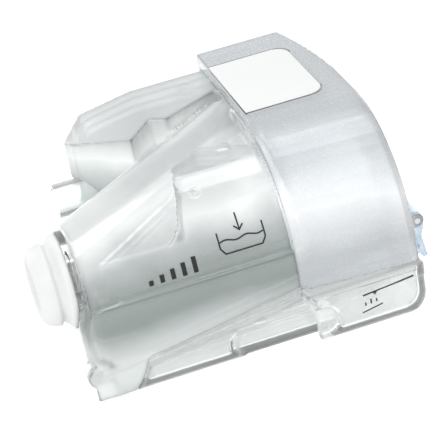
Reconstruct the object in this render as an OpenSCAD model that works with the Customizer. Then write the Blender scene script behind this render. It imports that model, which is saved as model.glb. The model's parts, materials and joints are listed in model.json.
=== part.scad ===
// Humidifier water chamber of a breathing machine: a clear tub with a metal heater
// plate, and a hinged clear lid with its air ducts, front cover and latch.
// +X is the front (cover end), -Y the near side, Z = 0 the underside of the tub.
// The origin lies on the underside, midway between the rear wall and the cover's face.

/* [Shell] */
// Length from the rear wall to the face of the front cover
shell_length = 161; // [158:0.5:170]
// Width across the front cover
shell_width = 155; // [152:0.5:160]
// Height to the top of the front cover
shell_height = 95; // [94:0.5:102]
// Wall of the clear mouldings
wall = 2.2; // [1.8:0.1:2.6]
// Slope of the parting plane between tub and lid, in degrees
rim_slope = 9; // [9:0.2:10]

/* [Tub] */
// Width across the guide rails
rail_width = 137; // [134:0.5:139]
// How far the upper tub wall stands in from the rail
rail_step = 4; // [3:0.25:5]
// Height of the rail's top edge at the front step
rail_top = 21.5; // [20:0.5:23]
// Slope of the rail's top edge, in degrees
rail_slope = 7.2; // [6:0.1:8]
// Height of the wide front part of the tub
step_height = 26.5; // [25.5:0.25:27.5]
// Thickness of the tub floor
floor_t = 2.5; // [2.2:0.1:3]
// How far the tub's front bulges past the front cover
front_bulge = 1.5; // [1:0.25:2]
// Radius of the long lower edges
edge_r = 3; // [3:0.5:6]
// Length of the finger recess in each rail
grip_length = 38; // [30:1:42]
// Height of the finger recess
grip_height = 11; // [9:0.5:12]
// Depth of the finger recess
grip_depth = 3; // [2:0.25:3.5]

/* [Heater plate] */
// Length of the heater plate's pan
plate_length = 104; // [90:1:108]
// Width of the heater plate's pan
plate_width = 88; // [76:1:92]
// Sheet thickness of the heater plate
plate_t = 0.9; // [0.7:0.1:1.2]
// Width of the plate's flange, which the frame clamps
plate_flange = 5; // [4:0.25:6]
// Thickness of the gasket below the flange
gasket_t = 1.2; // [1:0.1:1.5]

/* [Lid] */
// How far the tops of the two lobes lie below the cover's top
lobe_drop = 8; // [7:0.5:10]
// Height at which the near lobe's rolled side starts
lobe_foot = 42; // [41:0.5:43]
// How far the far lobe's rear edge lies below its top
lobe_rear_drop = 7.5; // [3:0.5:10]
// Height of the ledge below the near side panel
ledge_height = 47.5; // [46:0.5:50]
// Thickness of the lid's rim
rim_t = 4.5; // [4:0.25:5]
// Width of the lid's rim
rim_w = 8; // [7.5:0.25:9]
// Thickness of the lid seal
seal_t = 1.5; // [1:0.1:2]
// Thickness of the deck that closes the air space
deck_t = 1.8; // [1.5:0.1:2.2]

/* [Air path] */
// Radius of the duct ridge that crosses the lid
ridge_r = 24; // [23:0.5:25]
// Place of the inlet across the width, the near side being negative
inlet_y = -40; // [-41:0.5:-39]
// Height of the inlet above the underside
inlet_z = 53; // [52:0.5:54]
// Radius of the air way through the inlet seal
inlet_bore_r = 11; // [10:0.25:11.5]
// Wall of the silicone inlet seal at its mouth
inlet_lip = 2.5; // [2:0.25:3]
// Radius of the collar round the inlet
collar_r = 23; // [22:0.25:23.5]
// Place of the outlet across the width, the far side being positive
outlet_y = 45; // [44:0.5:46]
// Height of the outlet above the underside
outlet_z = 51; // [50:0.5:52]
// Radius of the air way through the outlet port
outlet_bore_r = 7; // [6.5:0.25:7.5]
// Wall of the hard air tubes
tube_wall = 1.8; // [1.5:0.1:2]

/* [Front cover] */
// Length of the front cover
cover_length = 53.8; // [52:0.2:56]
// Wall of the frosted front cover
cover_t = 2.5; // [2:0.1:3]
// Height of the cover's lower edge
cover_bottom = 28; // [27.6:0.2:30]
// Height at which the cover's rolled shoulder starts at its rear edge
shoulder_rear_foot = 43; // [42:0.5:44]
// Height at which the shoulder starts at the cover's front edge
shoulder_front_foot = 38; // [37:0.5:39]
// Thickness of the top inset
inset_t = 1.6; // [1.2:0.1:2]
// Length of the top inset
inset_length = 41; // [36:1:44]
// Width of the top inset
inset_width = 63; // [56:1:66]

/* [Hinge and latch] */
// Diameter of the hinge pins
hinge_pin_d = 4; // [3.5:0.25:4.5]
// Outer radius of the hinge's lugs and cheeks
lug_r = 5.5; // [5:0.25:6]
// Width of each hinge lug
lug_w = 7; // [6:0.5:8]
// Thickness of the hinge cheeks
cheek_t = 2.6; // [2.2:0.1:2.8]
// Diameter of the latch pin
latch_pin_d = 3; // [2.5:0.25:3.5]
// Width of the latch
latch_w = 22; // [18:1:26]
// Angle by which the latch stands open at rest, in degrees
latch_open = 7; // [6:0.5:9]

/* [Fits] */
// Radial running clearance of the pins
running = 0.05; // [0.02:0.01:0.08]
// Clearance between faces that slide past each other
slide_gap = 0.3; // [0.25:0.05:0.4]

/* [Hidden] */
$fn = 64;
far = 200;

rear_x = -shell_length / 2;
front_x = shell_length / 2;
cover_x = front_x - cover_length;
// Rear wall of the tub, in front of the hinge
tub_rear_x = rear_x + 9;
lobe_top = shell_height - lobe_drop;
lobe_rear_top = lobe_top - lobe_rear_drop;
lobe_r = lobe_top - lobe_foot;
shoulder_rear_r = shell_height - shoulder_rear_foot;
shoulder_front_r = shell_height - shoulder_front_foot;
// How far the lid's raised parts run in under the front cover
under_cover = 3;
half_w = shell_width / 2;
half_rail = rail_width / 2;
// Outer radius of the hard spigot that the inlet seal is pushed onto
spigot_r = inlet_bore_r + tube_wall;

// Hinge axis, on the parting plane at the foot of the rear wall
hinge_x = rear_x + 3;
hinge_z = 12.7;
function rim_z(x) = hinge_z + (x - hinge_x) * tan(rim_slope);
function rail_z(x) = rail_top + (x - cover_x) * tan(rail_slope);

// Lip along the cover's lower edge, and the band behind its near side
lip_step = 0.5;
lip_height = 4.5;
band_w = 3.6;
band_step = 0.7;

// Rounded rectangle between two corners
module slab(x0, x1, y0, y1, r) {
    translate([x0 + r, y0]) square([x1 - x0 - 2 * r, y1 - y0]);
    translate([x0, y0 + r]) square([x1 - x0, y1 - y0 - 2 * r]);
    for (x = [x0 + r, x1 - r], y = [y0 + r, y1 - r])
        translate([x, y]) circle(r);
}
// A drawing in (Y, Z), pushed along X
module along_x(x0, x1)
    translate([x0, 0, 0]) rotate([90, 0, 90]) linear_extrude(x1 - x0) children();
// A drawing in (X, Z), pushed along Y
module along_y(y0, y1)
    translate([0, y1, 0]) rotate([90, 0, 0]) linear_extrude(y1 - y0) children();
// A drawing in (X, Y), pushed along Z
module along_z(z0, z1)
    translate([0, 0, z0]) linear_extrude(z1 - z0) children();
// A profile in (radius, X), turned about a line along X
module about_x(y, z)
    translate([0, y, z]) rotate([0, 90, 0]) rotate_extrude() children();
// Tube between two X stations
module pipe_x(x0, x1, y, z, r)
    translate([x0, y, z]) rotate([0, 90, 0]) cylinder(r = r, h = x1 - x0);

// Layer that follows the parting plane, between two heights above it
module rim_layer(low, high)
    along_y(-far, far)
        polygon([[-far, rim_z(-far) + low], [far, rim_z(far) + low],
                 [far, rim_z(far) + high], [-far, rim_z(-far) + high]]);

// Front face in plan: straight across the near half, swept back across the far half
front_sweep_r = 290;
sweep_steps = 8;
sweep_reach = half_w + 10;
module front_plan(face_x)
    polygon(concat(
        [[-far, -sweep_reach], [face_x, -sweep_reach]],
        [for (i = [0:sweep_steps])
            let (y = sweep_reach * i / sweep_steps)
            [face_x - y * y / (2 * front_sweep_r), y]],
        [[-far, sweep_reach]]));

// Plan outline of tub and lid, drawn in by inset: the far rear corner is cut off
lid_overhang = 1;
plan_r = 6;
// Radius of the lid's upright rear corners
lid_corner_r = 11;
corner_x = rear_x + 2.5;
corner_y = 22;
corner_angle = 54.6;
module plan(inset, rear, front, corner = plan_r) {
    intersection() {
        slab(rear, front + corner, -half_rail - lid_overhang + inset,
             half_rail + lid_overhang - inset, max(corner - inset / 2, 1));
        translate([corner_x, corner_y]) rotate(corner_angle)
            translate([-far, -2 * far - inset]) square(2 * far);
        front_plan(front);
    }
}

// ---- Lid ----------------------------------------------------------------------
// Lid section, seen from the front: rolled near side, flat top, straight far side
lid_near_in = 11.5;
lid_far_in = 6.5;
lid_front_in = 7.5;
lid_near_y = -half_w + lid_near_in;
lid_far_y = half_w - lid_far_in;
lid_front_x = front_x - lid_front_in;
lobe_y = lid_near_y + lobe_r;
lobe_z = lobe_foot;
module lid_section(inset) {
    translate([lobe_y, lobe_z]) circle(lobe_r - inset, $fn = 96);
    translate([lobe_y, 0]) square([lid_far_y - lobe_y - inset, lobe_top - inset]);
    translate([lid_near_y + inset, 0])
        square([lid_far_y - lid_near_y - 2 * inset, lobe_z]);
}
// Skin of the near side that stands proud round the recessed panel
skirt_step = 1.3;
skirt_drop = 16;
module skirt_section(inset) {
    intersection() {
        translate([lobe_y, lobe_z - skirt_step]) circle(lobe_r + skirt_step - inset, $fn = 96);
        translate([-half_w, lobe_z - skirt_step]) square([half_w, shell_height]);
    }
    polygon([[lid_near_y - skirt_step + inset, lobe_z - skirt_step],
             [-half_rail - lid_overhang + inset, ledge_height - skirt_drop],
             [-half_rail - lid_overhang + inset, 0],
             [0, 0], [0, lobe_z - skirt_step]]);
}
// Recessed panel on the near side, with a round lower corner at its rear
panel_margin = 13;
panel_rear_x = rear_x + panel_margin;
panel_corner_r = 10;
module near_panel(skin)
    along_y(-far, 0)
        slab(panel_rear_x - skin, cover_x + far, ledge_height - skin, far, panel_corner_r + skin);

// Shallow panel in the skin below the ledge, down to a lip above the rim
skirt_dip = 0.9;
skirt_lip = 7;
ledge_bead = 2.2;
skirt_panel_foot = 26.5;
skirt_panel_r = 8;
module skirt_panel(inset)
    difference() {
        intersection() {
            along_y(-far, 0)
                slab(panel_rear_x - inset, cover_x + far, skirt_panel_foot - inset,
                     ledge_height - ledge_bead + inset, skirt_panel_r + inset);
            rim_layer(skirt_lip - inset, far);
        }
        along_x(rear_x - 1, cover_x + far) skirt_section(inset + skirt_dip);
    }

// Duct ridge: a round crest that runs from the inlet up to the front cover
ridge_end_y = 27;
ridge_drop = 32;
upper_rear_step = 5;
upper_rear_x = rear_x + upper_rear_step;
ridge_start = [upper_rear_x + 1.5, inlet_y, inlet_z];
ridge_end = [cover_x + under_cover, ridge_end_y, shell_height - ridge_drop];
ridge_run = ridge_end - ridge_start;
ridge_length = norm(ridge_run);
module along_ridge(start, length)
    translate(start)
        rotate([0, acos(ridge_run[2] / ridge_length), atan2(ridge_run[1], ridge_run[0])])
            linear_extrude(length) children();

// Near lobe: its rear edge in plan is the steep side of the pocket. Each point gives the
// distance from the cover, the place across, and how much of inset moves it either way
near_lobe_edge = [[3, -27, 0, -1], [-4, -27, 0, -1], [-28.2, -13.5, 0, -1.4], [-44.7, -28, 1, 0],
                  [-48, -45, 1, 0], [-52.3, -55.5, 1, 0], [-57.7, -59.5, 1, 0]];
near_lobe_rear = -57.7;
module near_lobe_plan(inset)
    polygon(concat(
        [[cover_x + under_cover, -half_w]],
        [for (p = near_lobe_edge) [cover_x + p[0] + p[2] * inset, p[1] + p[3] * inset]],
        [[cover_x + near_lobe_rear + inset, -half_w]]));
// Everything below the tilted floor of the pocket
pocket_drop = 30;
pocket_foot = [0, -59, shell_height - pocket_drop];
pocket_tilt = 12.4;
module below_pocket(inset)
    translate(pocket_foot - [0, 0, inset]) rotate([pocket_tilt, 0, 0])
        translate([-far, -far, -far]) cube([2 * far, 2 * far, far]);
// Far lobe: plan, as distances from the cover or from the rear wall, and side view
far_lobe_rear = [[40.5, 0, 1, -1], [26.5, -23, 1, 0], [29.5, -29, 1, 0.5]];
far_lobe_edge = [[-51.7, 18, 0, 1.4], [-38.7, 31, 0, 1.2], [-30.7, 26, 0, 1.2], [3, 44, 0, 1]];
module far_lobe_plan(inset)
    polygon(concat(
        [[cover_x + under_cover, lid_far_y - inset]],
        [for (p = far_lobe_rear) [rear_x + p[0] + p[2] * inset, lid_far_y + p[1] + p[3] * inset]],
        [for (p = far_lobe_edge) [cover_x + p[0] + p[2] * inset, p[1] + p[3] * inset]]));
lobe_crease_x = cover_x - 38.7;
lobe_rear_x = rear_x + 25.5;
module far_lobe_side(inset)
    polygon([[cover_x + under_cover, 0], [cover_x + under_cover, lobe_top - inset],
             [lobe_crease_x, lobe_top - inset], [lobe_rear_x, lobe_rear_top - inset],
             [lobe_rear_x, 0]]);
// Side view of the low near part, with the step in its rear wall
rear_step_rise = 4;
rear_step_fall = 1;
module rear_step_side(inset)
    polygon([[rear_x + inset, 0], [cover_x + under_cover, 0],
             [cover_x + under_cover, shell_height], [upper_rear_x + inset, shell_height],
             [upper_rear_x + inset, ledge_height + rear_step_rise],
             [rear_x + inset, ledge_height - rear_step_fall]]);

// The lid as a solid, drawn in by inset
low_wall_y = -15;
low_wall_reach = 20;
low_wall_out = 11;
skirt_in = 3.5;
skirt_rise = 4.8;
module lid_form(inset) {
    // Raised near lobe
    intersection() {
        along_x(cover_x + near_lobe_rear - skirt_in, cover_x + under_cover) lid_section(inset);
        along_z(0, shell_height) near_lobe_plan(inset);
    }
    // Low near side, up to the floor of the pocket
    intersection() {
        union() {
            along_x(rear_x, cover_x + under_cover) lid_section(inset);
            difference() {
                along_x(rear_x, cover_x + under_cover) skirt_section(inset);
                near_panel(inset);
                skirt_panel(inset);
            }
        }
        along_z(0, shell_height) intersection() {
            plan(inset, rear_x + inset, cover_x + 2 * under_cover, lid_corner_r);
            polygon([[rear_x, -half_w], [cover_x + under_cover, -half_w],
                     [cover_x + under_cover, ridge_end_y], [rear_x, inlet_y - rear_step_rise]]);
        }
        along_y(-half_w, half_w) rear_step_side(inset);
        below_pocket(inset);
    }
    // Rear wall behind the ridge
    intersection() {
        along_z(0, ledge_height - inset)
            plan(inset, rear_x + inset, cover_x + 2 * under_cover, lid_corner_r);
        along_z(0, shell_height)
            polygon([[rear_x, -half_w], [cover_x + under_cover, -half_w],
                     [cover_x + under_cover, ridge_end_y + low_wall_out - inset],
                     [rear_x + low_wall_reach, low_wall_y - inset], [rear_x, low_wall_y - inset]]);
    }
    // Far lobe
    intersection() {
        along_z(0, shell_height) far_lobe_plan(inset);
        along_y(0, half_w) far_lobe_side(inset);
    }
    // Front block below the cover
    intersection() {
        along_x(cover_x + inset, front_x) lid_section(inset);
        along_z(0, shell_height) front_plan(lid_front_x - inset);
    }
    // Duct ridge
    intersection() {
        along_ridge(ridge_start - ridge_run / 5, ridge_length * 6 / 5) circle(ridge_r - inset);
        along_z(0, shell_height)
            translate([upper_rear_x + inset, -half_w]) square([far, shell_width]);
    }
    // Low skirt all round
    intersection() {
        along_z(0, shell_height)
            plan(inset + skirt_in, rear_x + inset, lid_front_x - inset, lid_corner_r);
        rim_layer(-far, rim_t + skirt_rise - inset);
    }
}
// Round pocket in the rear wall, in which the inlet collar sits
collar_gap = 0.5;
module collar_pocket(skin)
    pipe_x(rear_x - collar_r, upper_rear_x + skin, inlet_y, inlet_z, collar_r + collar_gap + skin);
// Room round the hinge lugs of the tub
lug_gap = 1;
lug_far_y = 12;
recess_depth = cheek_t + 2 * slide_gap + 0.1;
lug_ys = [-half_rail + recess_depth + lug_w / 2, lug_far_y];
module lug_room(skin)
    for (y = lug_ys)
        along_y(y - lug_w / 2 - slide_gap - skin, y + lug_w / 2 + slide_gap + skin)
            translate([hinge_x, hinge_z]) circle(lug_r + lug_gap + skin);
// Small round moulded bosses on the lobes: distance from the cover, place across, and
// height of their foot below the lobes' top
boss_places = [[-40.2, -42, -14], [-16.7, -22, -5], [-12.7, 58, -5]];
boss_r = 3.5;
boss_h = 8;
boss_proud = 0.8;
module lobe_bosses()
    for (p = boss_places)
        translate([cover_x, 0, lobe_top] + p) cylinder(r = boss_r, h = min(boss_h, boss_proud - p[2]));

module lid_shell() color([0.86, 0.9, 0.9, 0.45]) {
    difference() {
        union() {
            lid_form(0);
            lobe_bosses();
        }
        difference() {
            lid_form(wall);
            collar_pocket(wall);
            lug_room(wall);
        }
        collar_pocket(0);
        lug_room(0);
        rim_layer(-far, rim_t);
        pipe_x(rear_x, duct_start_x + ridge_r, inlet_y, inlet_z, spigot_r + slide_gap);
        pipe_x(rear_x, outlet_inner_x, outlet_y, outlet_z, out_duct_r + slide_gap);
    }
}

// Rim of the lid, with the cheeks that carry the hinge pins
cheek_ys = [[lug_ys[0] - lug_w / 2 - slide_gap - cheek_t, lug_ys[0] - lug_w / 2 - slide_gap],
            [lug_ys[1] + lug_w / 2 + slide_gap, lug_ys[1] + lug_w / 2 + slide_gap + cheek_t]];
rim_lap = 0.8;
module lid_rim() color([0.82, 0.87, 0.87, 0.6]) {
    difference() {
        union() {
            intersection() {
                difference() {
                    along_z(0, shell_height) plan(0, rear_x, lid_front_x + 1);
                    along_z(-1, shell_height + 1)
                        plan(rim_w, tub_rear_x + wall + rim_lap, lid_front_x + 1 - rim_w);
                }
                rim_layer(0, rim_t);
            }
            for (c = cheek_ys) intersection() {
                along_y(c[0], c[1]) {
                    translate([hinge_x, hinge_z]) circle(lug_r);
                    translate([rear_x, hinge_z]) square([lug_r + hinge_x - rear_x, lug_r]);
                }
                rim_layer(-far, rim_t);
            }
            intersection() {
                along_y(cheek_ys[0][0], cheek_ys[0][0] + apron_t) apron_outline(0);
                rim_layer(-far, rim_t);
            }
        }
        lug_room(0);
        along_y(cheek_ys[0][0] + cheek_skin, cheek_ys[0][1] + 1) pin_hole();
        along_y(cheek_ys[1][0] - 1, cheek_ys[1][1] - cheek_skin) pin_hole();
    }
}
module pin_hole() translate([hinge_x, hinge_z]) circle(hinge_pin_d / 2 + running);
// Near cheek's apron, which fills the recess in the tub's rail down to the underside
cheek_skin = 0.7;
apron_t = 1.6;
apron_r = 28.9;
apron_middle = [-3.7, 9.5];
apron_foot = 0.7;
module apron_outline(grow)
    intersection() {
        translate([hinge_x, hinge_z] + apron_middle) circle(apron_r + grow, $fn = 96);
        translate([rear_x, grow > 0 ? -grow : apron_foot]) square([far, rim_z(hinge_x + apron_r)]);
    }

// Silicone seal between the tub's upper edge and the lid's rim
seal_out = 1.5;
seal_in = 0.5;
module lid_seal() color([0.93, 0.94, 0.94]) {
    intersection() {
        difference() {
            along_z(0, shell_height) plan(lid_overhang + rail_step - seal_out, tub_rear_x, lid_front_x);
            along_z(-1, shell_height + 1)
                plan(lid_overhang + rail_step + wall + seal_in, tub_rear_x + wall + seal_in,
                     lid_front_x - wall - seal_in);
        }
        rim_layer(-seal_t, 0);
    }
}

// Deck that closes the lid's air space from the water, with two air openings
deck_lap = 1.5;
drop_in_step = 4.7;
drop_out_step = 34.7;
drop_in = [cover_x - drop_in_step, 16];
drop_out = [cover_x - drop_out_step, outlet_y];
duct_r = spigot_r - 0.2;
out_duct_r = outlet_bore_r + tube_wall;
module air_deck() color([0.88, 0.92, 0.92, 0.5]) {
    intersection() {
        difference() {
            along_z(0, shell_height)
                plan(skirt_in + wall + slide_gap, tub_rear_x + wall - deck_lap,
                     lid_front_x - wall - slide_gap);
            translate(drop_in) cylinder(r = duct_r - tube_wall, h = far);
            translate(drop_out) cylinder(r = out_duct_r - tube_wall, h = far);
        }
        along_x(-far, far) lid_section(wall + slide_gap);
        rim_layer(rim_t, rim_t + deck_t);
    }
}

// Baffle below the inlet's opening, which keeps splashes out of the duct
baffle_r = 18;
baffle_drop = 5;
module splash_baffle() color([0.88, 0.92, 0.92, 0.5]) {
    intersection() {
        translate(drop_in) difference() {
            cylinder(r = baffle_r, h = shell_height);
            translate([0, 0, -1]) cylinder(r = baffle_r - tube_wall, h = far);
            translate([0, -far / 2, -1]) cube(far);
        }
        rim_layer(-baffle_drop, rim_t);
    }
}

// ---- Air path -------------------------------------------------------------------
collar_t = 3;
spigot_reach = 10;
duct_step = 1;
seal_face_x = upper_rear_x - collar_t;
duct_start_x = upper_rear_x + wall + duct_step;
spigot_tip_x = rear_x - spigot_reach;
// Collar that clamps the inlet seal to the rear wall
module inlet_collar() color([0.85, 0.88, 0.88, 0.7]) {
    about_x(inlet_y, inlet_z)
        polygon([[inlet_bore_r, spigot_tip_x], [spigot_r, spigot_tip_x], [spigot_r, seal_face_x],
                 [collar_r, seal_face_x], [collar_r, upper_rear_x], [spigot_r, upper_rear_x],
                 [spigot_r, duct_start_x], [inlet_bore_r, duct_start_x]]);
}
// Silicone seal: a base ring, a neck and a domed mouth
seal_reach = 14.5;
dome_reach = 6;
dome_r = 20;
neck_r = 17;
neck_fillet = 2;
seal_base_r = collar_r - 0.5;
seal_base_t = 3;
tip_gap = 0.5;
seal_tip_x = rear_x - seal_reach;
dome_x = rear_x - dome_reach;
dome_steps = 12;
module inlet_seal() color([0.95, 0.95, 0.93]) {
    mouth_r = inlet_bore_r + inlet_lip;
    about_x(inlet_y, inlet_z)
        polygon(concat(
            [[spigot_r, seal_face_x], [seal_base_r, seal_face_x],
             [seal_base_r, seal_face_x - seal_base_t],
             [neck_r + neck_fillet, dome_x + neck_fillet * 5 / 4],
             [neck_r + neck_fillet / 2, dome_x + neck_fillet / 2]],
            [for (i = [0:dome_steps])
                let (a = 90 * i / dome_steps)
                [mouth_r + (dome_r - mouth_r) * cos(a), dome_x - (dome_x - seal_tip_x) * sin(a)]],
            [[inlet_bore_r, seal_tip_x + inlet_lip], [inlet_bore_r, spigot_tip_x - tip_gap],
             [spigot_r, spigot_tip_x - tip_gap]]));
}
// Hard duct: from the inlet along the ridge, then down to the deck
elbow_swell = 0.5;
duct_rise = 4;
module inlet_duct() color([0.86, 0.9, 0.9, 0.4]) {
    difference() {
        inlet_pipe(duct_r);
        inlet_pipe(duct_r - tube_wall);
        rim_layer(-far, rim_t + deck_t);
        translate([duct_start_x - far, -far, 0]) cube([far, 2 * far, far]);
    }
}
module inlet_pipe(r) {
    corner = [drop_in[0], drop_in[1], inlet_z + duct_rise];
    start = [duct_start_x, inlet_y, inlet_z];
    way = corner - start;
    translate(start - way / 5) rotate([0, acos(way[2] / norm(way)), atan2(way[1], way[0])])
        cylinder(r = r, h = norm(way) * 6 / 5);
    translate(corner) sphere(r + elbow_swell);
    translate(drop_in) cylinder(r = r, h = corner[2]);
}
// Outlet: a port through the lid's wall, a sleeve and a duct down to the deck
outlet_inset = 15.5;
outlet_length = 33;
outlet_tip_x = rear_x + outlet_inset;
outlet_inner_x = outlet_tip_x + outlet_length;
duct_narrowing = 0.5;
module outlet_port() color([0.8, 0.9, 0.86, 0.6]) {
    difference() {
        pipe_x(outlet_tip_x, outlet_inner_x, outlet_y, outlet_z, out_duct_r);
        pipe_x(outlet_tip_x - 1, outlet_inner_x + 1, outlet_y, outlet_z, outlet_bore_r);
    }
}
sleeve_grip = 5;
sleeve_t = 1.5;
module outlet_sleeve() color([0.95, 0.95, 0.93]) {
    difference() {
        pipe_x(outlet_inner_x - sleeve_grip, outlet_inner_x + sleeve_grip, outlet_y, outlet_z,
               out_duct_r + sleeve_t);
        pipe_x(outlet_inner_x - far, outlet_inner_x + far, outlet_y, outlet_z, out_duct_r);
    }
}
module outlet_pipe(r, reach) {
    pipe_x(outlet_inner_x - reach, drop_out[0], outlet_y, outlet_z, r);
    translate([drop_out[0], outlet_y, outlet_z]) sphere(r + elbow_swell);
    translate(drop_out) cylinder(r = r, h = outlet_z);
}
module outlet_duct() color([0.86, 0.9, 0.9, 0.4]) {
    difference() {
        outlet_pipe(out_duct_r, 0);
        outlet_pipe(outlet_bore_r - duct_narrowing, 1);
        rim_layer(-far, rim_t + deck_t);
    }
}

// ---- Tub --------------------------------------------------------------------------
module tub_plan(inset, x1) plan(lid_overhang + inset, tub_rear_x + inset, x1 - inset);
module below_rail(drop)
    along_y(-far, far)
        polygon([[-far, -1], [front_x, -1], [front_x, rail_z(front_x) - drop],
                 [-far, rail_z(-far) - drop]]);
rail_reach = 10;
step_gap = 0.3;
front_step = 1.5;
front_half_w = half_w - front_step;
// The tub as a solid, drawn in by inset, from a floor height upwards
module tub_form(inset, bottom) {
    // Guide rails
    intersection() {
        along_z(bottom, shell_height) plan(lid_overhang + inset, tub_rear_x + inset, cover_x + rail_reach);
        along_x(rear_x, cover_x + rail_reach)
            slab(-half_rail + inset, half_rail - inset, bottom, shell_height, edge_r - inset);
        below_rail(inset);
    }
    // Upper wall, up to the seal
    intersection() {
        along_z(bottom, shell_height)
            plan(lid_overhang + rail_step + inset, tub_rear_x + inset, lid_front_x - inset);
        rim_layer(-far, inset > 0 ? far : -seal_t);
    }
    // Wide front part, with a thicker band along its upper edge
    intersection() {
        along_x(cover_x - far, far)
            slab(-front_half_w + inset, front_half_w - inset, bottom, step_height + edge_r,
                 front_edge_r - inset);
        along_y(-far, far) front_block_side(inset, bottom);
        along_z(-1, shell_height) front_plan(front_x + front_bulge - inset);
    }
    intersection() {
        along_y(-front_half_w - band_proud + inset, front_half_w + band_proud - inset)
            front_band_side(inset);
        along_z(-1, shell_height) front_plan(front_x + front_bulge + band_proud - inset);
    }
}
nose_r = 11;
front_edge_r = 3;
front_rear_r = 2.5;
band_proud = 0.6;
band_height = 7;
band_reach = 3;
band_edge = 1.5;
module front_block_side(inset, bottom) {
    x0 = cover_x + step_gap + inset;
    x1 = front_x + front_bulge - inset;
    slab(x0, x1 - nose_r, bottom, step_height - inset, front_rear_r);
    intersection() {
        slab(x0, x1, bottom, step_height + nose_r, nose_r - inset);
        translate([x0 + nose_r, bottom]) square([shell_length, step_height - inset - bottom]);
    }
}
module front_band_side(inset) {
    x0 = cover_x - band_reach + inset;
    top = step_height - inset;
    low = step_height - band_height + inset;
    polygon([[x0, top], [x0, top - band_edge], [cover_x + step_gap + inset, low],
             [front_x + far, low], [front_x + far, top]]);
}
// Finger recess in both rails
grip_z = 0.8;
grip_notch_x = 23;
grip_notch_step = 2.2;
grip_under = 12;
module grips(depth, skin)
    for (s = [-1, 1])
        translate([0, s * half_rail, 0]) along_y(-depth, depth)
            for (part = [[grip_length, 0], [grip_notch_x, grip_notch_step]])
                slab(cover_x - part[0] - skin, cover_x + grip_under, grip_z - skin,
                     grip_z + grip_height + part[1] + skin, grip_height * 0.48 + skin);
// Recess in the near rail, in which the lid's apron turns
module hinge_recess(skin)
    along_y(-half_rail - 1, -half_rail + recess_depth + skin) apron_outline(slide_gap + skin);
plate_x = 4;
plate_r = 18;
pan_gap = 0.6;
module pan_outline(grow)
    slab(plate_x - plate_length / 2 - grow, plate_x + plate_length / 2 + grow,
         -plate_width / 2 - grow, plate_width / 2 + grow, plate_r + grow);
// Side view of the latch's catch, from the tub's upper front edge
catch_side = [[-1, -6], [0, -4], [3.3, -3.5], [3.3, -2], [-1, -1]];
latch_y = -45;
module tub_base() color([0.86, 0.9, 0.9, 0.5]) {
    difference() {
        union() {
            tub_form(0, 0);
            // Hinge lugs
            for (y = lug_ys) along_y(y - lug_w / 2, y + lug_w / 2) {
                translate([hinge_x, hinge_z]) circle(lug_r);
                translate([hinge_x, hinge_z - lug_r])
                    square([tub_rear_x - hinge_x + 1, lug_r - lug_gap]);
            }
            // Catch for the latch
            along_y(latch_y - latch_w / 2, latch_y + latch_w / 2)
                translate([front_x + front_bulge, step_height]) polygon(catch_side);
        }
        difference() {
            tub_form(wall, floor_t);
            grips(grip_depth + wall, wall);
            hinge_recess(wall);
        }
        grips(grip_depth, 0);
        hinge_recess(0);
        along_z(-1, floor_t + 1) pan_outline(pan_gap);
        for (y = lug_ys) along_y(y - lug_w, y + lug_w)
            translate([hinge_x, hinge_z]) circle(hinge_pin_d / 2);
    }
}
// Metal pan that the machine heats, flush with the underside
module heater_plate() color([0.72, 0.73, 0.75]) {
    difference() {
        union() {
            along_z(0, floor_t + gasket_t + plate_t) pan_outline(0);
            along_z(floor_t + gasket_t, floor_t + gasket_t + plate_t) pan_outline(plate_flange);
        }
        along_z(plate_t, far) pan_outline(-plate_t);
    }
}
module plate_gasket() color([0.25, 0.26, 0.28]) {
    along_z(floor_t, floor_t + gasket_t) difference() {
        pan_outline(plate_flange);
        pan_outline(pan_gap);
    }
}
frame_t = 2;
frame_rim = 2.5;
frame_lap = 3;
module plate_frame() color([0.84, 0.88, 0.88]) {
    top = floor_t + gasket_t + plate_t;
    difference() {
        along_z(floor_t, top + frame_t) pan_outline(plate_flange + slide_gap + frame_rim);
        along_z(0, top) pan_outline(plate_flange + slide_gap);
        along_z(0, far) pan_outline(plate_flange - frame_lap);
    }
}

// ---- Hinge and latch ----------------------------------------------------------------
// Plain pins, pressed in the tub's lugs; their ends turn in blind holes in the lid's cheeks
pin_sink = 0.3;
module hinge_pin(y0, y1)
    along_y(y0, y1) translate([hinge_x, hinge_z]) circle(hinge_pin_d / 2);
module hinge_pin_near() color([0.75, 0.76, 0.78])
    hinge_pin(cheek_ys[0][0] + cheek_skin + pin_sink, lug_ys[0] + lug_w / 2);
module hinge_pin_far() color([0.75, 0.76, 0.78])
    hinge_pin(lug_ys[1] - lug_w / 2, cheek_ys[1][1] - cheek_skin - pin_sink);

latch_out = 7.5;
latch_rise = 11.5;
latch_x = front_x + latch_out;
latch_z = step_height + latch_rise;
ear_t = 2.5;
ear_r = 3.6;
hub_r = 3.6;
// Side view of the latch, from its pivot: a round pad, the arm with its hook, and the foot
latch_side = [[-2.2, 0], [-2.2, -15.6], [-3.8, -16.8], [-3.8, -18], [-2.2, -19.2], [-1, -21.5],
              [1.2, -21.5], [0.8, -10], [2.5, -6], [2.5, 0]];
pad_r = 8.6;
pad_middle = [-5.4, -3.2];
module front_latch() color([0.75, 0.85, 0.95, 0.7]) {
    difference() {
        translate([latch_x, 0, latch_z]) rotate([0, -latch_open, 0])
            along_y(latch_y - latch_w / 2, latch_y + latch_w / 2) {
                circle(hub_r);
                polygon(latch_side);
                intersection() {
                    translate(pad_middle) circle(pad_r);
                    translate([-1, -pad_r - hub_r]) square([far, pad_r + 2 * hub_r]);
                }
            }
        along_y(-far, far) translate([latch_x, latch_z]) circle(latch_pin_d / 2 + running);
    }
}
module latch_pin() color([0.75, 0.76, 0.78])
    along_y(latch_y - latch_w / 2 - slide_gap - ear_t, latch_y + latch_w / 2 + slide_gap + ear_t)
        translate([latch_x, latch_z]) circle(latch_pin_d / 2);

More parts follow.
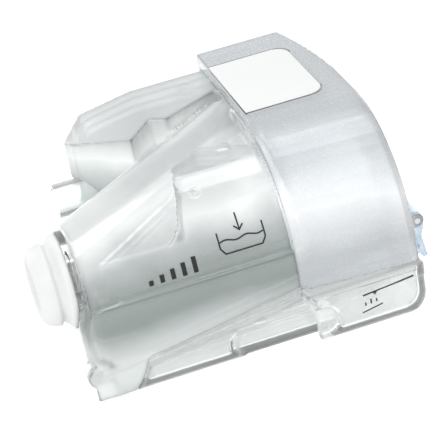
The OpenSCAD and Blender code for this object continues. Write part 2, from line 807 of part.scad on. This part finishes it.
// ---- Front cover ----------------------------------------------------------------------
shoulder_steps = 14;
cover_near_y = lobe_y;
corner_cut = 3;
// Cover section at one end: flat top, rolled near side, straight far side
module cover_section(r, inset)
    polygon(concat(
        [[half_w - inset, cover_bottom - (inset > lip_step ? 1 : 0)],
         [half_w - inset, shell_height - corner_cut - inset / 2],
         [half_w - corner_cut - inset / 2, shell_height - inset]],
        [for (i = [0:shoulder_steps])
            let (a = 90 + 90 * i / shoulder_steps)
            [cover_near_y + (r - inset) * cos(a), shell_height - r + (r - inset) * sin(a)]],
        [[cover_near_y - r + inset, cover_bottom - (inset > lip_step ? 1 : 0)]]));
end_t = 0.1;
cover_past = 5;
module cover_form(inset)
    hull() {
        along_x(cover_x - (inset > lip_step ? end_t : 0), cover_x + end_t)
            cover_section(shoulder_rear_r, inset);
        along_x(front_x + cover_past, front_x + cover_past + end_t)
            cover_section(shoulder_front_r, inset);
    }
inset_sink = 0.2;
inset_floor = shell_height - inset_t - inset_sink;
inset_y0 = -10;
inset_r = 8;
inset_gap = 0.15;
module inset_outline(grow)
    slab(cover_x - 2 * inset_r, cover_x + inset_length + grow,
         inset_y0 - grow, inset_y0 + inset_width + grow, inset_r + grow);
flange_t = 2.5;
flange_gap = 0.3;
flange_foot = flange_gap + max(ledge_height, rim_z(cover_x + flange_t) + rim_t + skirt_rise);
module cover_flange(inset)
    difference() {
        cover_section(shoulder_rear_r, inset);
        lid_section(-flange_gap);
        translate([-far, 0]) square([2 * far, cover_bottom]);
        translate([-half_rail - lid_overhang - flange_gap, 0])
            square([rail_width + 2 * (lid_overhang + flange_gap), flange_foot]);
    }
ledge_t = 2;
rib_ys = [-12, 22, 60];
rib_t = 2;
rib_x = cover_x + 6;
rib_length = 26;
module front_cover() color([0.88, 0.91, 0.92, 0.8]) {
    difference() {
        union() {
            difference() {
                intersection() {
                    union() {
                        cover_form(lip_step);
                        intersection() {
                            cover_form(0);
                            along_z(0, cover_bottom + lip_height)
                                translate([-far, -far]) square(2 * far);
                        }
                    }
                    along_z(0, far) front_plan(front_x);
                }
                intersection() {
                    cover_form(cover_t);
                    along_z(0, far) front_plan(front_x - cover_t);
                }
            }
            // Flange that closes the rear edge down to the lid, and a wider band on the near side
            along_x(cover_x, cover_x + flange_t) cover_flange(lip_step);
            along_x(cover_x - band_w, cover_x + flange_t) intersection() {
                cover_flange(lip_step + band_step);
                translate([inset_y0 - inset_r - far, 0]) square(far);
            }
            // Shelf below the top inset
            along_z(inset_floor - ledge_t, inset_floor) intersection() {
                inset_outline(ledge_t);
                translate([cover_x, -far]) square(2 * far);
            }
            // Ribs that rest on the lid's top
            for (y = rib_ys) along_y(y, y + rib_t)
                translate([rib_x, lobe_top])
                    square([rib_length, shell_height - cover_t / 2 - lobe_top]);
            // Ears for the latch pin
            for (y = [latch_y - latch_w / 2 - slide_gap - ear_t, latch_y + latch_w / 2 + slide_gap])
                along_y(y, y + ear_t) {
                    translate([latch_x, latch_z]) circle(ear_r);
                    translate([front_x - 1, latch_z - ear_r]) square([latch_x - front_x + 1, 2 * ear_r]);
                }
        }
        along_z(inset_floor, far) inset_outline(inset_gap);
        along_y(-far, far) translate([latch_x, latch_z]) circle(latch_pin_d / 2);
    }
}
module top_inset() color([0.97, 0.97, 0.96])
    along_z(inset_floor, inset_floor + inset_t) intersection() {
        inset_outline(0);
        translate([cover_x + slide_gap, -far]) square(2 * far);
    }

tub_base();
heater_plate();
plate_gasket();
plate_frame();
hinge_pin_near();
hinge_pin_far();
lid_shell();
lid_rim();
lid_seal();
air_deck();
splash_baffle();
inlet_duct();
inlet_collar();
inlet_seal();
outlet_duct();
outlet_port();
outlet_sleeve();
front_cover();
top_inset();
latch_pin();
front_latch();
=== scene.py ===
# Looks of the humidifier water chamber: a clear tub and lid, a frosted front cover and a
# white silicone inlet, on a white floor. All lengths are in metres, in the part's own frame,
# except where a name or comment says mm.
import json
import math

import bmesh
import bpy
from mathutils import Matrix, Vector
from mathutils.bvhtree import BVHTree


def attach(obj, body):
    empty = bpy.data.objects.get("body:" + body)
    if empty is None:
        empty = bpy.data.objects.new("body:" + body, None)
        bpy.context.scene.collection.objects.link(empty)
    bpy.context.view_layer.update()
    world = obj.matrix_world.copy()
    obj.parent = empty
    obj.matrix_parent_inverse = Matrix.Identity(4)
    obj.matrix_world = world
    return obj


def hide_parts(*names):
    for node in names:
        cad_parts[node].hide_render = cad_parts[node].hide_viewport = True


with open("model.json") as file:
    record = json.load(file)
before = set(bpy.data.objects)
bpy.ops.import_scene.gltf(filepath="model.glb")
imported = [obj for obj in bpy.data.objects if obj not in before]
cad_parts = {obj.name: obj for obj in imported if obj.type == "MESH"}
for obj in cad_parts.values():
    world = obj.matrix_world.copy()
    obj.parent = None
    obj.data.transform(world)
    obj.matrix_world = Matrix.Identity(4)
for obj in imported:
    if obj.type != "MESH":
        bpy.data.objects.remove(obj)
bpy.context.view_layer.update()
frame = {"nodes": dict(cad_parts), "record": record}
nodes = frame["nodes"]
MM = 0.001

# ---- Camera ---------------------------------------------------------------------------
IMAGE_SIDE = 447
FOCAL_PIXELS = 2029.0
SENSOR = 36.0
CLIP_START = 0.01
CAMERA_AZIMUTH = math.radians(-11.9)
CAMERA_ELEVATION = math.radians(27.75)
CAMERA_ROLL = math.radians(11.28)
CAMERA_DISTANCE = 1.0
CAMERA_TARGET = Vector((8, 0, 35.5)) * MM


def add_camera():
    """Camera at the photograph's angle; the object stands rolled in the picture."""
    a, e = CAMERA_AZIMUTH, CAMERA_ELEVATION
    back = Vector((math.sin(a) * math.cos(e), -math.cos(a) * math.cos(e), math.sin(e)))
    data = bpy.data.cameras.new("camera")
    data.sensor_width = SENSOR
    data.lens = SENSOR * FOCAL_PIXELS / IMAGE_SIDE
    data.clip_start = CLIP_START
    camera = bpy.data.objects.new("camera", data)
    bpy.context.scene.collection.objects.link(camera)
    level = (-back).to_track_quat("-Z", "Y").to_matrix().to_4x4()
    roll = Matrix.Rotation(-CAMERA_ROLL, 4, "Z")
    camera.matrix_world = Matrix.Translation(CAMERA_TARGET + back * CAMERA_DISTANCE) @ level @ roll
    bpy.context.scene.camera = camera


# ---- Light and floor --------------------------------------------------------------------
WORLD_RAMP = [(0.0, 0.5), (0.55, 0.95), (1.0, 0.7)]  # grey seen below, at the side and above
LIGHTS = [  # name, place, size, power
    ("key", (-0.3, -0.8, 0.85), (0.7, 0.4), 4.2),
    ("strip_top", (0.18, 0.2, 1.05), (0.9, 0.35), 3),
    ("fill", (0.9, 0.9, 0.7), (0.6, 0.6), 3),
    ("strip_back", (-0.6, 0.9, 0.55), (0.25, 1.4), 3),
    ("strip_left", (-0.9, -0.5, 0.35), (0.3, 0.9), 1.5),
]
LIGHT_TARGET = Vector((0, 0, 0.05))
FLOOR_SIDE = 3.0
FLOOR_DROP = 0.0003
FLOOR_GREY = 0.97
FLOOR_ROUGHNESS = 0.9


def fill_ramp(ramp, stops):
    """Give a colour ramp these stops: (position, colour)."""
    while len(ramp.elements) < len(stops):
        ramp.elements.new(0.5)
    for element, (position, colour) in zip(ramp.elements, stops):
        element.position = position
        element.color = (*colour, 1)


def add_lights():
    """Large soft lamps, all turned to the part."""
    for name, place, size, power in LIGHTS:
        data = bpy.data.lights.new(name, "AREA")
        data.shape = "RECTANGLE"
        data.size, data.size_y = size
        data.energy = power
        light = bpy.data.objects.new(name, data)
        bpy.context.scene.collection.objects.link(light)
        light.location = place
        light.rotation_euler = (LIGHT_TARGET - Vector(place)).to_track_quat("-Z", "Y").to_euler()


def add_world():
    """A pale studio all round, brightest at the sides."""
    world = bpy.data.worlds.new("studio")
    world.use_nodes = True
    tree = world.node_tree
    place = tree.nodes.new("ShaderNodeTexCoord")
    split = tree.nodes.new("ShaderNodeSeparateXYZ")
    height = tree.nodes.new("ShaderNodeMapRange")
    height.inputs["From Min"].default_value = -1  # straight down, where 1 is straight up
    ramp = tree.nodes.new("ShaderNodeValToRGB")
    fill_ramp(ramp.color_ramp, [(position, (grey, grey, grey)) for position, grey in WORLD_RAMP])
    tree.links.new(place.outputs["Generated"], split.inputs[0])
    tree.links.new(split.outputs["Z"], height.inputs["Value"])
    tree.links.new(height.outputs["Result"], ramp.inputs[0])
    tree.links.new(ramp.outputs["Color"], tree.nodes["Background"].inputs["Color"])
    bpy.context.scene.world = world


def add_floor():
    """A plain white floor just below the part."""
    mesh = bpy.data.meshes.new("floor")
    s = FLOOR_SIDE
    mesh.from_pydata([(-s, -s, 0), (s, -s, 0), (s, s, 0), (-s, s, 0)], [], [(0, 1, 2, 3)])
    floor = bpy.data.objects.new("floor", mesh)
    bpy.context.scene.collection.objects.link(floor)
    floor.location.z = -FLOOR_DROP
    paint = bpy.data.materials.new("floor_white")
    paint.use_nodes = True
    shader = paint.node_tree.nodes["Principled BSDF"]
    shader.inputs["Base Color"].default_value = (FLOOR_GREY, FLOOR_GREY, FLOOR_GREY, 1)
    shader.inputs["Roughness"].default_value = FLOOR_ROUGHNESS
    mesh.materials.append(paint)


# ---- Materials ----------------------------------------------------------------------------
HEIGHT = 0.095  # the part's height, over which the colour stops of clear plastic run
BUMP_DEPTH = 0.0003
BROAD_SCALE = 22.0  # scale of the haze and of uneven tone
BROAD_DETAIL = 4
BROAD_SPAN = 0.3, 0.7  # the values between which broad noise mostly lies
DRIFT = 0.035  # how far broad noise moves a colour stop up and down, as a share of HEIGHT
CLEAR_GLOSS = 0.85, 1.2  # the shares of its roughness between which a clear piece's gloss varies
OPAQUE_GLOSS = 0.75, 1.25
EVEN_BLEND = 0.5  # the Layer Weight's setting at which Facing isn't pushed to either side
FLAT_POINTINESS = 0.5
EDGE_SHADE_SPAN = 0.012, 0.06  # how far from flat an edge begins to get painted shade, and gets it in full
EDGE_TONE = 0.32  # how dark the painted shade along an edge or crease is against the rest
IOR_BODY = 1.5
IOR_BENT = 1.4
IOR_SHINE = 1.45


class Shading:
    """One new material, with short ways to add nodes to it."""

    def __init__(self, name):
        self.material = bpy.data.materials.new(name)
        self.material.use_nodes = True
        self.tree = self.material.node_tree
        self.tree.nodes.clear()
        self.place = self.add("TexCoord").outputs["Object"]

    def add(self, kind, links=(), **values):
        made = self.tree.nodes.new("ShaderNode" + kind)
        for name, value in values.items():
            made.inputs[name.replace("_", " ")].default_value = value
        for socket, output in links:
            self.tree.links.new(output, made.inputs[socket])
        return made

    def feed(self, socket, value):
        """Give a socket a plain number, or a link from another node's output."""
        if isinstance(value, (int, float)):
            socket.default_value = value
        else:
            self.tree.links.new(value, socket)

    def noise(self, scale, detail=3):
        links = [("Vector", self.place)]
        return self.add("TexNoise", links, Scale=scale, Detail=detail).outputs["Fac"]

    def span(self, value, low, high, start=0.0, end=1.0):
        """A value that runs from start to end, taken to run from low to high."""
        links = [("Value", value)]
        made = self.add("MapRange", links, From_Min=start, From_Max=end, To_Min=low, To_Max=high)
        return made.outputs["Result"]

    def gloss(self, fine, roughness, shares):
        """A roughness that varies with fine noise between two shares of itself."""
        low, high = shares
        return self.span(fine, roughness * low, roughness * high)

    def calc(self, operation, first, second=0):
        made = self.add("Math", [(0, first)])
        made.operation = operation
        self.feed(made.inputs[1], second)
        return made.outputs[0]

    def ramp(self, value, stops):
        made = self.add("ValToRGB", [(0, value)])
        fill_ramp(made.color_ramp, stops)
        return made.outputs["Color"]

    def shade(self, colour, tone):
        made = self.add("VectorMath", [(0, colour), (1, tone)])
        made.operation = "MULTIPLY"
        return made.outputs[0]

    def bump(self, height, strength):
        made = self.add("Bump", [("Height", height)], Strength=strength, Distance=BUMP_DEPTH)
        return made.outputs["Normal"]

    def mix(self, factor, first, second):
        made = self.add("MixShader", [(1, first), (2, second)])
        self.feed(made.inputs[0], factor)
        return made.outputs[0]

    def finish(self, shader):
        self.add("OutputMaterial", [("Surface", shader)])
        return self.material


def see_through(name, tint, stops, roughness, face, edge, power, bend=0.0, haze=0.07,
                grain=900.0, lift=0.03, edge_shade=0.6):
    """Clear moulded plastic: see-through where it faces the eye, milky along its edges, with
    a haze that comes and goes, fine grain, and painted shade along its edges and creases,
    which also makes them milkier. stops are its body's colours by height, on the tub, the lid
    and the front cover painted light and shade; face and edge are how milky it is seen straight
    on and edge on, and bend is the share of what shows through that is refracted."""
    s = Shading(name)
    broad = s.noise(BROAD_SCALE, BROAD_DETAIL)
    fine = s.noise(grain)
    height = s.span(s.add("SeparateXYZ", [(0, s.place)]).outputs["Z"], 0, 1, 0, HEIGHT)
    # colour by height; the stops given for the tub, the lid and the front cover make this painted
    # light and shade
    colour = s.ramp(s.calc("ADD", height, s.span(broad, -DRIFT, DRIFT, *BROAD_SPAN)), stops)
    rough = s.gloss(fine, roughness, CLEAR_GLOSS)
    normal = s.bump(fine, lift)
    facing = s.add("LayerWeight", Blend=EVEN_BLEND).outputs["Facing"]
    milk = s.span(s.calc("POWER", facing, power), face, edge)
    milk = s.calc("ADD", milk, s.span(broad, -haze / 2, haze / 2, *BROAD_SPAN))
    # painted shade along edges and creases, found where pointiness leaves flat: a darker colour
    # and more milk there
    if edge_shade:
        pointed = s.add("NewGeometry").outputs["Pointiness"]
        corner = s.calc("ABSOLUTE", s.calc("SUBTRACT", pointed, FLAT_POINTINESS))
        shaded_edge = s.span(corner, 0, 1, *EDGE_SHADE_SPAN)
        milk = s.calc("ADD", milk, s.calc("MULTIPLY", shaded_edge, edge_shade))
        colour = s.shade(colour, s.span(shaded_edge, 1, EDGE_TONE))
    milk.node.use_clamp = True
    links = [("Base Color", colour), ("Roughness", rough), ("Normal", normal)]
    body = s.add("BsdfPrincipled", links, IOR=IOR_BODY)
    through = s.add("BsdfTransparent", Color=(*tint, 1)).outputs[0]
    if bend:
        bent = s.add("BsdfRefraction", [("Normal", normal)], Roughness=roughness, IOR=IOR_BENT,
                     Color=(*tint, 1))
        through = s.mix(bend, through, bent.outputs[0])
    matt = s.mix(milk, through, body.outputs[0])
    shine = s.add("BsdfGlossy", [("Roughness", rough), ("Normal", normal)], Color=(1, 1, 1, 1))
    mirror = s.add("Fresnel", [("Normal", normal)], IOR=IOR_SHINE).outputs[0]
    return s.finish(s.mix(mirror, matt, shine.outputs[0]))


def opaque(name, dark, light, roughness, grain=400.0, lift=0.05, metallic=0.0):
    """Opaque plastic, rubber, ink or metal with a slightly uneven tone, grain and gloss."""
    s = Shading(name)
    fine = s.noise(grain)
    low, high = BROAD_SPAN
    tone = s.ramp(s.noise(BROAD_SCALE, BROAD_DETAIL), [(low, dark), (high, light)])
    rough = s.gloss(fine, roughness, OPAQUE_GLOSS)
    links = [("Base Color", tone), ("Roughness", rough), ("Normal", s.bump(fine, lift))]
    return s.finish(s.add("BsdfPrincipled", links, Metallic=metallic).outputs[0])


CLEAR = (0.99, 1.0, 0.995)
# painted light and shade by height on the tub: darker at the foot, a light band a little above it,
# greyer higher up
TUB_STOPS = [(0.0, (0.72, 0.75, 0.745)), (0.14, (0.92, 0.94, 0.94)), (0.34, (0.74, 0.77, 0.77))]
# painted light and shade by height on the lid: light and dark bands that stand for how the lamps
# fall on it
LID_STOPS = [
    (0.2, (0.66, 0.69, 0.685)), (0.4, (0.21, 0.25, 0.24)), (0.55, (0.29, 0.33, 0.32)),
    (0.66, (0.5, 0.53, 0.53)), (0.77, (0.9, 0.92, 0.92)), (0.86, (0.6, 0.62, 0.62)),
    (1.0, (0.34, 0.37, 0.37)),
]
# painted light and shade by height on the front cover: darker low down, light at about two thirds
# of the height, darker at the top
COVER_STOPS = [
    (0.2, (0.42, 0.44, 0.46)), (0.45, (0.5, 0.52, 0.54)), (0.68, (0.9, 0.91, 0.92)),
    (0.93, (0.42, 0.45, 0.47)),
]
INNER_STOPS = [(0.0, (0.7, 0.72, 0.72)), (1.0, (0.8, 0.82, 0.82))]
# dark grey of the inset bead: painted shade of the narrow gap between the front cover and the top
# inset
EDGE_STOPS = [(0.0, (0.16, 0.18, 0.19)), (1.0, (0.22, 0.24, 0.25))]
BLUE_STOPS = [(0.3, (0.6, 0.75, 0.9)), (0.7, (0.74, 0.84, 0.94))]
MATERIALS = {
    "clear_plastic": see_through("clear_plastic", CLEAR, TUB_STOPS, 0.08, 0.2, 0.92, 1.7,
                                 bend=0.25, edge_shade=0),
    "inner_plastic": see_through("inner_plastic", (1, 1, 1), INNER_STOPS, 0.15, 0.03, 0.4, 2.2,
                                 haze=0.02, edge_shade=0),
    "frosted_plastic": see_through("frosted_plastic", (0.98, 0.99, 1), COVER_STOPS, 0.26, 0.5,
                                   0.94, 1.3, bend=0.45, grain=2500.0, lift=0.004),
    "white_plastic": opaque("white_plastic", (0.65, 0.655, 0.655), (0.69, 0.695, 0.695), 0.4),
    "blue_plastic": see_through("blue_plastic", (0.9, 0.96, 1), BLUE_STOPS, 0.15, 0.35, 0.85, 1.5),
    "white_silicone": opaque("white_silicone", (0.62, 0.63, 0.63), (0.68, 0.69, 0.69), 0.45),
    "dark_rubber": opaque("dark_rubber", (0.05, 0.05, 0.055), (0.08, 0.08, 0.085), 0.55),
    "plate_metal": opaque("plate_metal", (0.56, 0.57, 0.58), (0.66, 0.67, 0.68), 0.3,
                          grain=1200.0, lift=0.1, metallic=1.0),
    "pin_steel": opaque("pin_steel", (0.55, 0.55, 0.57), (0.66, 0.66, 0.68), 0.25,
                        grain=1500.0, lift=0.08, metallic=1.0),
}
TUB_CLEAR = see_through("clear_tub_plastic", CLEAR, TUB_STOPS, 0.08, 0.2, 0.92, 1.7, bend=0.2)
LID_CLEAR = see_through("clear_lid_plastic", CLEAR, LID_STOPS, 0.08, 0.5, 0.94, 1.5, bend=0.5)
EDGE_CLEAR = see_through("edge_plastic", CLEAR, EDGE_STOPS, 0.1, 0.7, 0.95, 1.2)
INK = opaque("grey_ink", (0.008, 0.008, 0.009), (0.02, 0.02, 0.021), 0.8, grain=2500.0)
CASTS_NO_SHADOW = ("clear_plastic", "inner_plastic", "frosted_plastic", "blue_plastic")
SLOTS = {row["node"]: row["material_slot"] for row in frame["record"]["subparts"]}


# ---- Pieces ---------------------------------------------------------------------------------
MOULDED = {  # name: body, solids it stands for, voxel in mm, rounds of smoothing
    "lid_shell": ("lid", ["lid_shell", "lid_rim"], 0.9, 4),
    "tub_base": ("tub", ["tub_base"], 0.9, 4),
    "front_cover": ("lid", ["front_cover"], 0.8, 5),
    "top_inset": ("lid", ["top_inset"], 0.4, 3),
    "inlet_seal": ("lid", ["inlet_seal"], 0.7, 4),
    "front_latch": ("latch", ["front_latch"], 0.4, 3),
}
OWN_MATERIALS = {"lid_shell": LID_CLEAR, "tub_base": TUB_CLEAR}
SMOOTHING = 0.5
FLAT_ANGLE = math.radians(0.4)  # faces that differ by less than this are joined
WELD = 0.01 * MM


def evaluated_mesh(source):
    """A new mesh with an object's modifiers or bevel applied. The object is removed."""
    graph = bpy.context.evaluated_depsgraph_get()
    mesh = bpy.data.meshes.new_from_object(source.evaluated_get(graph))
    bpy.data.objects.remove(source)
    return mesh


def add_piece(name, mesh, body, slot, material):
    """A new visible piece that rides on a body."""
    mesh.materials.clear()
    mesh.materials.append(material)
    piece = bpy.data.objects.new(name, mesh)
    bpy.context.scene.collection.objects.link(piece)
    piece.visible_shadow = slot not in CASTS_NO_SHADOW
    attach(piece, body)
    return piece


def joined_solids(name, sources):
    """One mesh of some CAD nodes, in the frame's own place."""
    mesh = bpy.data.meshes.new(name)
    whole = bmesh.new()
    for source in sources:
        start = len(whole.verts)
        whole.from_mesh(nodes[source].data)
        whole.verts.ensure_lookup_table()
        for vert in whole.verts[start:]:
            vert.co = nodes[source].matrix_world @ vert.co
    bmesh.ops.remove_doubles(whole, verts=whole.verts, dist=WELD)
    whole.to_mesh(mesh)
    whole.free()
    return mesh


def moulded(name, body, sources, voxel, rounds):
    """A copy of one or more solids of one body with the soft edges of a moulding."""
    rough = bpy.data.objects.new(name + "_rough", joined_solids(name + "_rough", sources))
    bpy.context.scene.collection.objects.link(rough)
    remesh = rough.modifiers.new("remesh", "REMESH")
    remesh.mode = "VOXEL"
    remesh.voxel_size = voxel * MM
    remesh.use_smooth_shade = True
    smooth = rough.modifiers.new("smooth", "SMOOTH")
    smooth.factor = SMOOTHING
    smooth.iterations = rounds
    flat = rough.modifiers.new("flat", "DECIMATE")
    flat.decimate_type = "DISSOLVE"
    flat.angle_limit = FLAT_ANGLE
    normal = rough.modifiers.new("normal", "WEIGHTED_NORMAL")
    normal.mode = "FACE_AREA"
    material = OWN_MATERIALS.get(name, MATERIALS[SLOTS[name]])
    piece = add_piece(name + "_moulded", evaluated_mesh(rough), body, SLOTS[name], material)
    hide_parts(*sources)
    return piece


def dress_nodes():
    """Give every CAD node the material of its slot."""
    for name, node in nodes.items():
        node.data.materials.clear()
        node.data.materials.append(MATERIALS[SLOTS[name]])
        node.visible_shadow = SLOTS[name] not in CASTS_NO_SHADOW


# ---- Marks and small raised rings, laid on a moulded surface ------------------------------
# A mark's places, widths and heights are in mm. It is drawn in a plane of its own: across runs
# forwards, up leans back by the surface's tilt, and the origin is a spot close to the surface.
STEP = 1.0 * MM  # the longest straight stretch of a line
APPROACH = 25 * MM  # how far off the plane the search for the surface starts
LEAST_SLACK = 0.6  # keeps a mitred corner from growing long
INK_LIFT = 0.05
GATE_LIFT = 0.3
SINK = 0.15


def resample(points, closed):
    """The same line, in metres, with a point at least every STEP: (across, up, width)."""
    points = [Vector(p) * MM for p in points]
    ends = points[1:] + points[:1] if closed else points[1:]
    line = []
    for start, end in zip(points, ends):
        count = max(1, math.ceil((end.xy - start.xy).length / STEP))
        line += [start.lerp(end, i / count) for i in range(count)]
    return line if closed else line + [points[-1]]


def offsets(line, closed):
    """For each point of a line, its left and right edge, with mitred corners."""
    last = len(line) - 1
    rows = []
    for i, point in enumerate(line):
        before = line[i - 1] if closed or i else line[i]
        after = line[(i + 1) % len(line)] if closed or i < last else line[i]
        run = (point - before).xy.normalized(), (after - point).xy.normalized()
        along = (run[0] + run[1]).normalized()
        side = Vector((-along.y, along.x))
        slack = max(LEAST_SLACK, max(abs(along.dot(r)) for r in run))
        half = point.z / 2 / slack
        rows.append((point.xy + side * half, point.xy - side * half))
    return rows


def laid_on(name, body, target, origin, tilt, strokes, material, slot, lift):
    """Closed ribbons laid on a piece's surface, from SINK below it to lift above it."""
    mesh = target.data
    faces = [list(p.vertices) for p in mesh.polygons]
    surface = BVHTree.FromPolygons([v.co for v in mesh.vertices], faces)
    origin = Vector(origin) * MM
    across = Vector((1, 0, 0))
    up = Vector((0, math.sin(tilt), math.cos(tilt))).normalized()
    out = across.cross(up)
    made = bmesh.new()
    for points, closed in strokes:
        rings = []
        for left, right in offsets(resample(points, closed), closed):
            ring = []
            for spot, height in ((left, lift), (right, lift), (right, -SINK), (left, -SINK)):
                start = origin + across * spot.x + up * spot.y + out * APPROACH
                hit = surface.ray_cast(start, -out)[0]
                ring.append(made.verts.new(hit + out * height * MM))
            rings.append(ring)
        for first, second in zip(rings, rings[1:] + rings[:1] if closed else rings[1:]):
            for i in range(len(first)):
                j = (i + 1) % len(first)
                made.faces.new((first[i], first[j], second[j], second[i]))
        if not closed:
            made.faces.new(rings[0])
            made.faces.new(rings[-1][::-1])
    bmesh.ops.recalc_face_normals(made, faces=made.faces)
    ready = bpy.data.meshes.new(name)
    made.to_mesh(ready)
    made.free()
    return add_piece(name, ready, body, slot, material)


def circle(radius, width, count=24):
    """A closed ring round the origin."""
    turns = [2 * math.pi * i / count for i in range(count)]
    return [(radius * math.cos(t), radius * math.sin(t), width) for t in turns], True


def wave(start, end, level, height, width, waves=2, count=24):
    """A water line from start to end, with a number of whole waves."""
    steps = [i / count for i in range(count + 1)]
    return [(start + (end - start) * s, level + height * math.sin(2 * math.pi * waves * s), width)
            for s in steps], False


def stroke(width, *points):
    """An open line of even width."""
    return [(*point, width) for point in points], False


def tapered(*points):
    """An open line whose points give their own widths."""
    return list(points), False


def bar(i):
    """One of the bars that rise towards the front."""
    across = BAR_START + BAR_PITCH * i
    return stroke(BAR_WIDTH, (across, BAR_FOOT), (across, BAR_TOP + BAR_RISE * i))


LINE = 0.75
BARS, BAR_WIDTH, BAR_START, BAR_PITCH = 5, 2.2, -46, 5.4
BAR_FOOT, BAR_TOP, BAR_RISE = -12, -9.6, 1.3
TUB_SIDE = (0, -76, 0)
TUB_TILT = 0
TUB_MARKS = [  # a fill line with a wedge, a lower line, and three ticks
    stroke(0.9, (50.6, 18.0), (76.4, 20.8)),
    tapered((56.6, 18.4, 2.4), (56.6, 16.8, 0.2)),
    stroke(0.6, (49.3, 9.1), (59.7, 11.0)),
    stroke(LINE, (51.4, 12.4), (51.4, 14.0)),
    stroke(LINE, (54.2, 12.7), (54.2, 15.2)),
    stroke(LINE, (57.0, 13.0), (57.0, 14.6)),
]
LOBE_MIDDLE = (1.9, -61.4, 61.8)
LOBE_TILT = math.radians(26)
LOBE_MARKS = [  # a tank with a wave and an arrow, and the rising bars
    stroke(LINE, (-11, 2.5), (-11, -5), (-9, -8), (9, -8), (11, -5), (11, 2.5)),
    wave(-10.5, 10.5, -2.2, 0.6, LINE),
    stroke(LINE, (0, 9.5), (0, 1.4)),
    stroke(LINE, (-2.2, 3.6), (0, 1.2), (2.2, 3.6)),
    *[bar(i) for i in range(BARS)],
]
GATE_MIDDLE = (-12.0, -45.1, 80.0)
GATE_TILT = math.radians(57.6)
GATE_MARKS = [circle(3.2, 0.9), circle(1.0, 0.9)]

# ---- The bead at the top inset's edge, dark with painted shade of the gap there -------------
BEAD_RADIUS = 0.45 * MM
BEAD_OFF = 0.5 * MM  # how far outside the inset's outline it runs, except along the rear
BEAD_RESOLUTION = 4
REAR_BAND = 1 * MM  # a corner this close to the rear edge counts as part of it


def bead_round(name, body, source, slot, material):
    """A fine bead along the rear, the sides and the front corners of a flat piece, level with
    its upper face. Its path starts and ends at the front, and leaves the straight edge there
    open."""
    node = nodes[source]
    points = [node.matrix_world @ v.co for v in node.data.vertices]
    top = max(p.z for p in points)
    rear = min(p.x for p in points)
    points = [p for p in points if top - p.z < WELD]
    middle = sum(points, Vector()) / len(points)
    points.sort(key=lambda p: math.atan2(p.y - middle.y, middle.x - p.x))
    corners = [p for i, p in enumerate(points) if (p - points[i - 1]).length > WELD]
    made = bpy.data.curves.new(name + "_path", "CURVE")
    made.dimensions = "3D"
    made.bevel_depth = BEAD_RADIUS
    made.bevel_resolution = BEAD_RESOLUTION
    made.use_fill_caps = True
    spline = made.splines.new("POLY")
    spline.points.add(len(corners) - 1)
    for spot, corner in zip(spline.points, corners):
        at_rear = corner.x - rear < REAR_BAND
        x = corner.x + (0 if at_rear else math.copysign(BEAD_OFF, corner.x - middle.x))
        y = corner.y + math.copysign(BEAD_OFF, corner.y - middle.y)
        spot.co = (x, y, top - BEAD_RADIUS, 1)
    path = bpy.data.objects.new(name + "_path", made)
    bpy.context.scene.collection.objects.link(path)
    ready = evaluated_mesh(path)
    ready.name = name
    ready.polygons.foreach_set("use_smooth", [True] * len(ready.polygons))
    return add_piece(name, ready, body, slot, material)


dress_nodes()
pieces = {name: moulded(name, *how) for name, how in MOULDED.items()}
laid_on("fill_marks", "tub", pieces["tub_base"], TUB_SIDE, TUB_TILT, TUB_MARKS,
        INK, "dark_rubber", INK_LIFT)
laid_on("tank_marks", "lid", pieces["lid_shell"], LOBE_MIDDLE, LOBE_TILT, LOBE_MARKS,
        INK, "dark_rubber", INK_LIFT)
laid_on("gate_marks", "lid", pieces["lid_shell"], GATE_MIDDLE, GATE_TILT, GATE_MARKS,
        MATERIALS["clear_plastic"], "clear_plastic", GATE_LIFT)
bead_round("inset_bead", "lid", "top_inset", "frosted_plastic", EDGE_CLEAR)
add_camera()
add_lights()
add_world()
add_floor()
bpy.context.scene.view_settings.view_transform = "Standard"
